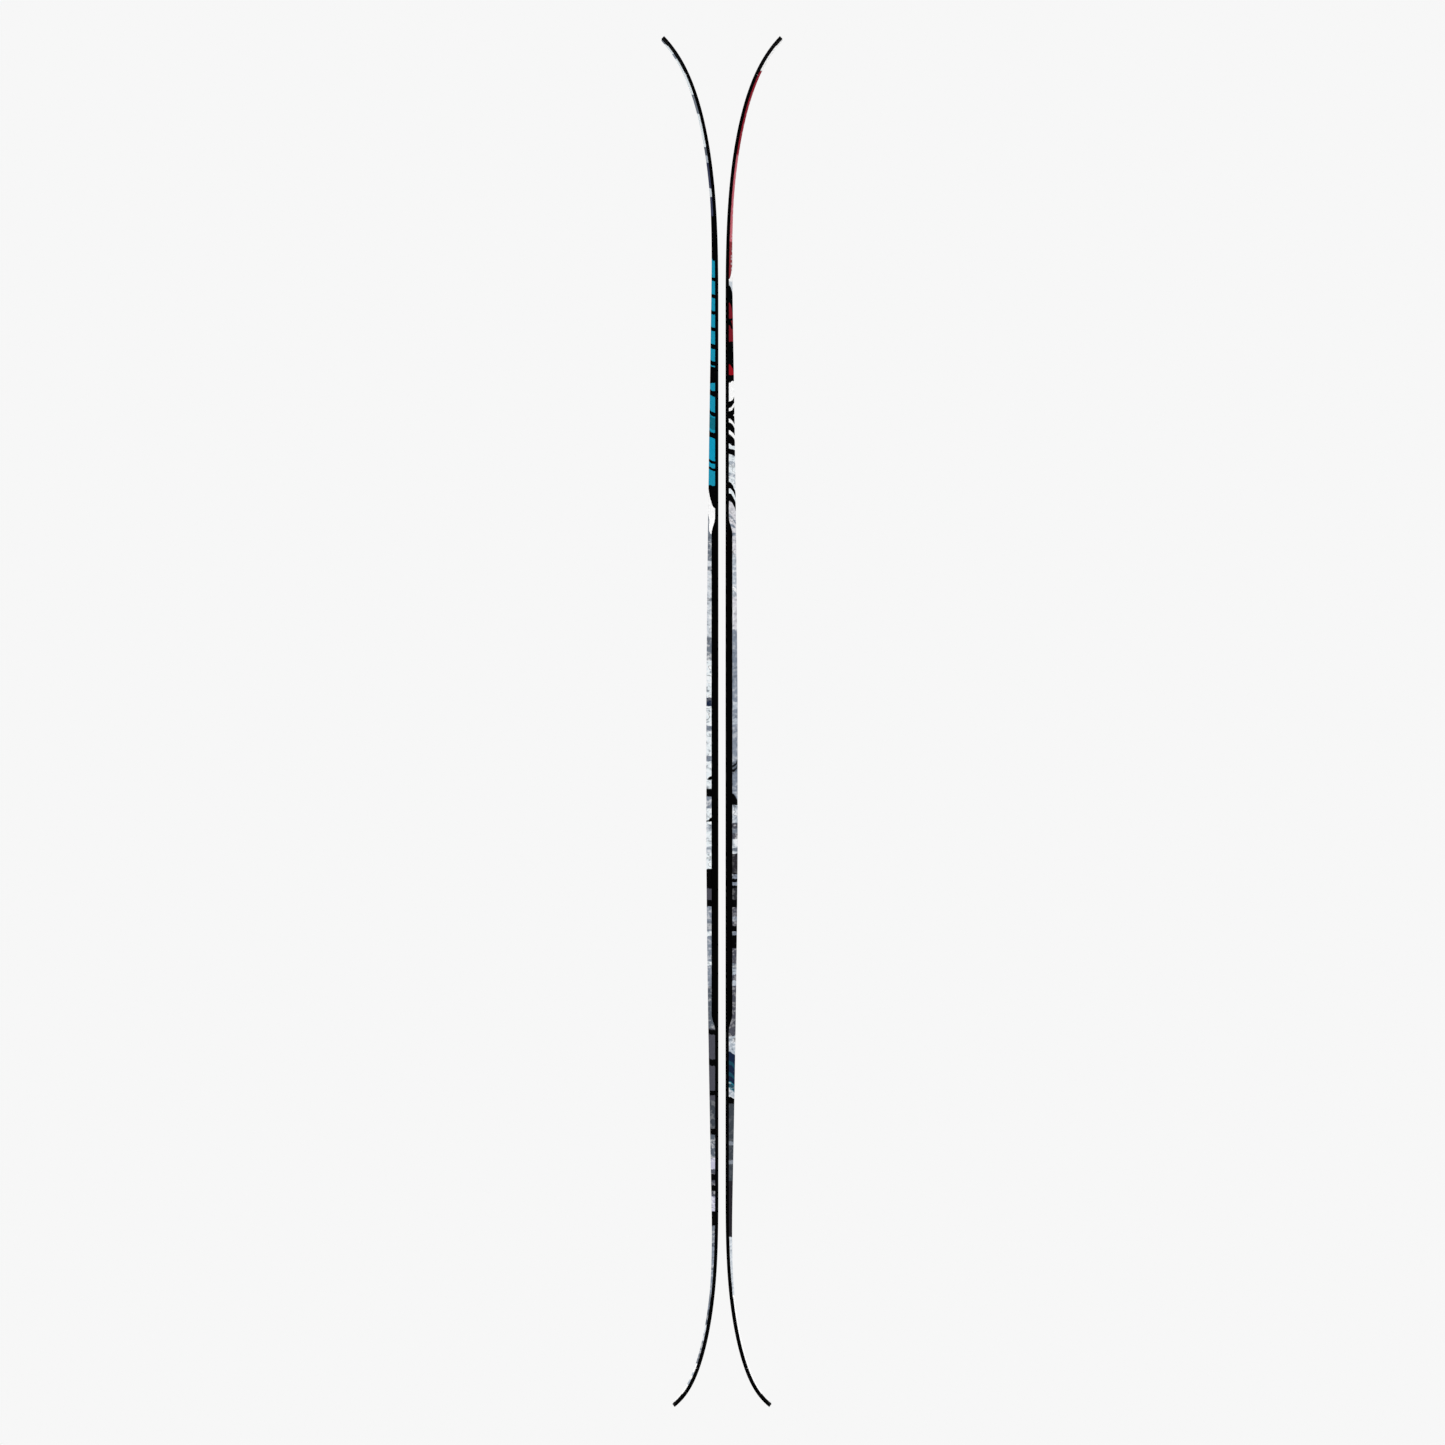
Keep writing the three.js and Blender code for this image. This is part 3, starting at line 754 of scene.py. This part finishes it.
def fibre_material(name, dark, light, pitch, rough):
    """Woven fibre in resin: two sets of threads that pass over and under each other."""
    web = Web(name)
    y, z = (web.node("ShaderNodeSeparateXYZ", {0: web.place()}, out=k) for k in (1, 2))
    warp = web.math("SINE", web.math("MULTIPLY", web.math("ADD", y, z), 2 * math.pi / pitch))
    weft = web.math("SINE", web.math("MULTIPLY", web.math("SUBTRACT", y, z), 2 * math.pi / pitch))
    over = web.span(web.math("MULTIPLY", warp, weft), -0.6, 0.6)
    threads = web.noise(1.0, 2.0, web.scaled((1200, 3000, 3000), (math.pi / 4, 0, 0)))
    colour = web.mix(over, rgb(dark), rgb(light))
    colour = web.mix(web.span(threads, 0.4, 0.7, 0.0, 0.4), colour, rgb(light))
    web.set(Base_Color=colour, Roughness=web.span(over, 0.0, 1.0, rough, rough + 0.15), Coat_Weight=0.2)
    web.bump(over, 0.00008, 0.6)
    return web.material


def wood_material(name, early, late, rings):
    """Quarter-sawn wood: long wavering grain lines with short pores."""
    web = Web(name)
    sway = web.noise(1.0, 2.0, web.scaled((30, 30, 3)))
    x, y = (web.node("ShaderNodeSeparateXYZ", {0: web.place()}, out=k) for k in (0, 1))
    across = web.math("MULTIPLY", web.math("ADD", x, y), rings)
    grain = web.math("FRACT", web.math("ADD", across, web.math("MULTIPLY", sway, 6.0)))
    pores = web.span(web.noise(1.0, 3.0, web.scaled((1800, 1800, 40))), 0.62, 0.7)
    colour = web.mix(web.math("POWER", grain, 2.5), rgb(early), rgb(late))
    colour = web.mix(web.math("MULTIPLY", pores, 0.5), colour, rgb(late))
    web.set(Base_Color=colour, Roughness=web.span(grain, 0.0, 1.0, 0.55, 0.72), Specular_IOR_Level=0.3)
    web.bump(web.math("SUBTRACT", grain, pores), 0.00006, 0.5)
    return web.material


looks = {
    "base_polyethylene": {
        "left": base_material("left_base_look", "2a6f7f"),
        "right": base_material("right_base_look", "7c2b36"),
    },
    "edge_steel": edge_material(),
    "damping_rubber": rubber_material(),
    "glass_laminate": fibre_material("glass_laminate_look", "8e8a66", "c9c6a4", 0.0016, 0.3),
    "carbon_laminate": fibre_material("carbon_laminate_look", "0c0d0f", "2b2d31", 0.0024, 0.25),
    "reinforcing_mat": fibre_material("reinforcing_mat_look", "a9a795", "e4e2d6", 0.0009, 0.5),
    "core_poplar": wood_material("core_poplar_look", "d6b98a", "b8935e", 260),
    "core_ash": wood_material("core_ash_look", "c4985f", "94683a", 340),
    "black_plastic": plastic_material(),
    "left_print": art(
        "left_print_look", LEFT_FIELDS, LEFT_BARS, LEFT_LEANS, LEFT_SKETCHED, [], LEFT_BLOCKED, [], 3.1
    ),
    "right_print": art(
        "right_print_look", RIGHT_FIELDS, RIGHT_BARS, RIGHT_LEANS, RIGHT_SKETCHED, RIGHT_FLUSHED,
        RIGHT_BLOCKED, RIGHT_PATCHES, 8.7
    ),
}


# ---- the pieces of one ski ----
def along_skin(ring, foot_front, foot_rear):
    """Distances over the skin from its front foot and from its rear foot, on every point."""
    grid = np.stack(ring, axis=1)
    steps = np.linalg.norm(np.diff(grid, axis=1), axis=2)
    walked = np.concatenate([np.zeros((len(grid), 1)), np.cumsum(steps, axis=1)], axis=1)
    front = np.clip(walked - walked[:, [foot_front]], 0, None)
    rear = np.clip(walked[:, [foot_rear]] - walked, 0, None)
    return {"front": front, "rear": rear}


SHOULDER_RADIUS = 1.1
SHOULDER_REACH = 4  # how far the skin's first line lies in from the shoulder


def topsheet_ring():
    """The printed skin's ring, its front foot's place there, and its front half's count of lines."""
    q = whole
    foot = q.band + TOUCH
    inner = [q.cap(TOPSHEET_THICK, q.top(TOPSHEET_THICK)), q.cap(TOPSHEET_THICK, foot)]
    shoulder = q.cap(0, q.top(0))
    outer = [q.cap(0, foot), shoulder, shoulder - [[0], [SHOULDER_REACH], [0]]]
    outer = rounded(outer, [0.15, SHOULDER_RADIUS, 0])
    outer[-1][1] = np.maximum(outer[-1][1], 0)
    front = inner + outer
    return spans(front, WIDE_COLUMNS), len(inner), len(front)


def ski(prefix):
    mirrored = prefix == "left"
    q = whole
    b = body
    foot = q.band + GLUE

    def finish(name, slot, ring, values=None):
        piece = loft(f"{prefix}_ski_{name}", ring, mirrored, values)
        look = looks[slot]
        piece.data.materials.append(look[prefix] if isinstance(look, dict) else look)
        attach(piece, f"{prefix}_ski")
        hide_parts(f"{prefix}_{name}")

    base = rounded([q.inset(BASE_INSET, 0), q.inset(BASE_INSET, BASE_THICK)], [0, 0])
    finish("base", "base_polyethylene", spans(base, WIDE_COLUMNS))

    for name, side in (("front", -1), ("rear", 1)):
        edge = [q.inset(0, 0), q.inset(EDGE_WIDE, 0), q.inset(EDGE_WIDE, TANG_FROM),
                q.inset(TANG_REACH, TANG_FROM), q.inset(TANG_REACH, EDGE_HIGH), q.inset(0, EDGE_HIGH)]
        edge = rounded([edge[-1]] + edge + [edge[0]], [0, 0.18, 0.08, 0, 0.1, 0.1, 0.15, 0])[1:-1]
        finish(f"{name}_edge", "edge_steel", one_side(edge, side))
        low, high = EDGE_HIGH + TOUCH, WALL_FROM - TOUCH
        rubber = [q.inset(RUBBER_INSET, low), q.inset(RUBBER_REACH, low),
                  q.inset(RUBBER_REACH, high), q.inset(RUBBER_INSET, high)]
        finish(f"{name}_rubber", "damping_rubber", one_side(rubber, side))
        wall = [b.inset(0, WALL_FROM), b.inset(WALL_WIDE, WALL_FROM),
                b.inset(WALL_WIDE, b.band), b.inset(0, b.band)]
        wall = rounded([wall[-1]] + wall + [wall[0]], [0, 0.25, 0.1, 0.1, 0.4, 0])[1:-1]
        finish(f"{name}_sidewall", "black_plastic", one_side(wall, side))
        level = [b.top(REINFORCEMENT_FOOT), b.top(REINFORCEMENT_DEPTH)]
        stringer = [b.across(STRINGER[0], level[0]), b.across(STRINGER[1], level[0]),
                    b.across(STRINGER[1], level[1]), b.across(STRINGER[0], level[1])]
        finish(f"{name}_stringer", "carbon_laminate", one_side(stringer, side))

    under = [q.inset(LAMINATE_INSET, LAMINATE_FROM), q.inset(LAMINATE_INSET, LAMINATE_TO)]
    finish("lower_laminate", "glass_laminate", spans(under, MIDDLE_COLUMNS))

    lines = [-x for x in STRIP_LINES[::-1]] + STRIP_LINES
    strips = len(lines) + 1
    for number in range(1, strips + 1):
        slot = "core_ash" if number % 2 else "core_poplar"
        if number in (1, strips):
            line, lap = STRIP_LINES[-1] + GLUE / 2, b.band + GLUE
            wood = [b.across(line, CORE_FROM), b.inset(WOOD_INSET, CORE_FROM), b.inset(WOOD_INSET, lap),
                    b.cap(REINFORCEMENT_DEPTH, lap), b.cap(REINFORCEMENT_DEPTH, b.top(CORE_DEPTH)),
                    b.across(line, b.top(CORE_DEPTH))]
            ring = one_side(wood, -1 if number == 1 else 1)
        else:
            low, high = lines[number - 2] + GLUE / 2, lines[number - 1] - GLUE / 2
            wood = [b.across(low, CORE_FROM), b.across(high, CORE_FROM),
                    b.across(high, b.top(CORE_DEPTH)), b.across(low, b.top(CORE_DEPTH))]
            ring = [placed(line, 1) for line in wood]
        finish(f"core_strip_{number}", slot, ring)

    for name, e in (("tip_spacer", tip_end), ("tail_spacer", tail_end)):
        spacer = [e.inset(WOOD_INSET, CORE_FROM), e.inset(WOOD_INSET, WALL_FROM),
                  e.inset(0, WALL_FROM), e.inset(0, e.band),
                  e.inset(CAP_LEAN * GLUE + CAP_SIDE * REINFORCEMENT_DEPTH, e.band),
                  e.cap(REINFORCEMENT_DEPTH, e.top(REINFORCEMENT_DEPTH))]
        spacer = rounded(spacer, [0, 0, 0, 0.35, 0, 0.1])
        finish(name, "black_plastic", spans(spacer, MIDDLE_COLUMNS))

    m = under_boot
    mat = [m.across(MAT_HALF_WIDTH, m.top(REINFORCEMENT_FOOT)),
           m.across(MAT_HALF_WIDTH, m.top(REINFORCEMENT_DEPTH))]
    finish("binding_mat", "reinforcing_mat", spans(mat, NARROW_COLUMNS))

    outer, inner = LAMINATE_DEPTH, LAMINATE_DEPTH + LAMINATE_THICK
    over = [q.cap(inner, q.top(inner)), q.cap(inner, foot), q.cap(outer, foot), q.cap(outer, q.top(outer))]
    finish("upper_laminate", "glass_laminate", spans(over, MIDDLE_COLUMNS))

    ring, foot_front, front_count = topsheet_ring()
    foot_rear = 2 * front_count + WIDE_COLUMNS - 2 - foot_front
    finish("topsheet", f"{prefix}_print", ring, along_skin(ring, foot_front, foot_rear))


ski("left")
ski("right")


# ---- studio ----
BACKGROUND = rgb("f7f7f7")
FLOOR_RADIUS, FLOOR_SIDES = 9.0, 96
FLOOR_GAP = 0.0005  # between the tail ends and the floor
CAMERA_AWAY = 4
VIEW_WIDTH = 1.8971
VIEW_RIGHT, VIEW_DOWN = 0.0007, 0.0013  # how far the view's middle lies from the skis' middle


def studio_floor():
    mesh = bpy.data.meshes.new("studio_floor")
    work = bmesh.new()
    bmesh.ops.create_circle(work, cap_ends=True, radius=FLOOR_RADIUS, segments=FLOOR_SIDES)
    work.to_mesh(mesh)
    work.free()
    floor = bpy.data.objects.new("studio_floor", mesh)
    floor.location.z = cad_box[0].z - FLOOR_GAP
    bpy.context.scene.collection.objects.link(floor)
    web = Web("studio_floor_look")
    web.set(Base_Color=web.mix(web.noise(0.8, 1.0), rgb("c1c1c1"), rgb("c4c4c4")), Roughness=0.9)
    web.set(Specular_IOR_Level=0.1)
    mesh.materials.append(web.material)


def soft_sun(name, azimuth, elevation, strength, spread):
    """A broad even light from one side. Azimuth 0 comes from where the camera is."""
    data = bpy.data.lights.new(name, "SUN")
    data.energy, data.angle = strength, math.radians(spread)
    lamp = bpy.data.objects.new(name, data)
    lamp.rotation_euler = (math.radians(90 - elevation), 0, math.radians(azimuth))
    bpy.context.scene.collection.objects.link(lamp)


def studio_world():
    """A pale backdrop for the camera; as a light, bright overhead and dim round the horizon."""
    world = bpy.data.worlds.new("studio")
    world.use_nodes = True
    tree = world.node_tree
    tree.nodes.clear()
    direction = tree.nodes.new("ShaderNodeTexCoord")
    up = tree.nodes.new("ShaderNodeSeparateXYZ")
    level = tree.nodes.new("ShaderNodeMapRange")
    level.inputs[1].default_value, level.inputs[2].default_value = 0.1, 0.9
    level.inputs[3].default_value, level.inputs[4].default_value = 0.015, 0.7
    seen, lit = tree.nodes.new("ShaderNodeBackground"), tree.nodes.new("ShaderNodeBackground")
    seen.inputs[0].default_value = BACKGROUND
    ray, choice = tree.nodes.new("ShaderNodeLightPath"), tree.nodes.new("ShaderNodeMixShader")
    output = tree.nodes.new("ShaderNodeOutputWorld")
    for a, b in ((direction.outputs["Generated"], up.inputs[0]), (up.outputs[2], level.inputs[0]),
                 (level.outputs[0], lit.inputs[1]), (ray.outputs["Is Camera Ray"], choice.inputs[0]),
                 (lit.outputs[0], choice.inputs[1]), (seen.outputs[0], choice.inputs[2]),
                 (choice.outputs[0], output.inputs[0])):
        tree.links.new(a, b)
    bpy.context.scene.world = world


def camera():
    """Level and straight at the skis' front side, with no perspective."""
    data = bpy.data.cameras.new("camera")
    data.type = "ORTHO"
    data.ortho_scale = VIEW_WIDTH
    data.clip_end = 50
    seat = bpy.data.objects.new("camera", data)
    centre = (cad_box[0] + cad_box[1]) / 2
    seat.location = (centre.x + VIEW_RIGHT, -CAMERA_AWAY, centre.z - VIEW_DOWN)
    seat.rotation_euler = (math.pi / 2, 0, 0)
    bpy.context.scene.collection.objects.link(seat)
    bpy.context.scene.camera = seat


studio_floor()
studio_world()
soft_sun("front_right_sun", 35, 48, 1.31, 40)
soft_sun("front_left_sun", -35, 48, 1.31, 40)
soft_sun("right_sun", 100, 50, 1.05, 40)
soft_sun("left_sun", -100, 50, 1.05, 40)
soft_sun("back_sun", 180, 50, 0.8, 40)
camera()
bpy.context.scene.view_settings.view_transform = "Standard"
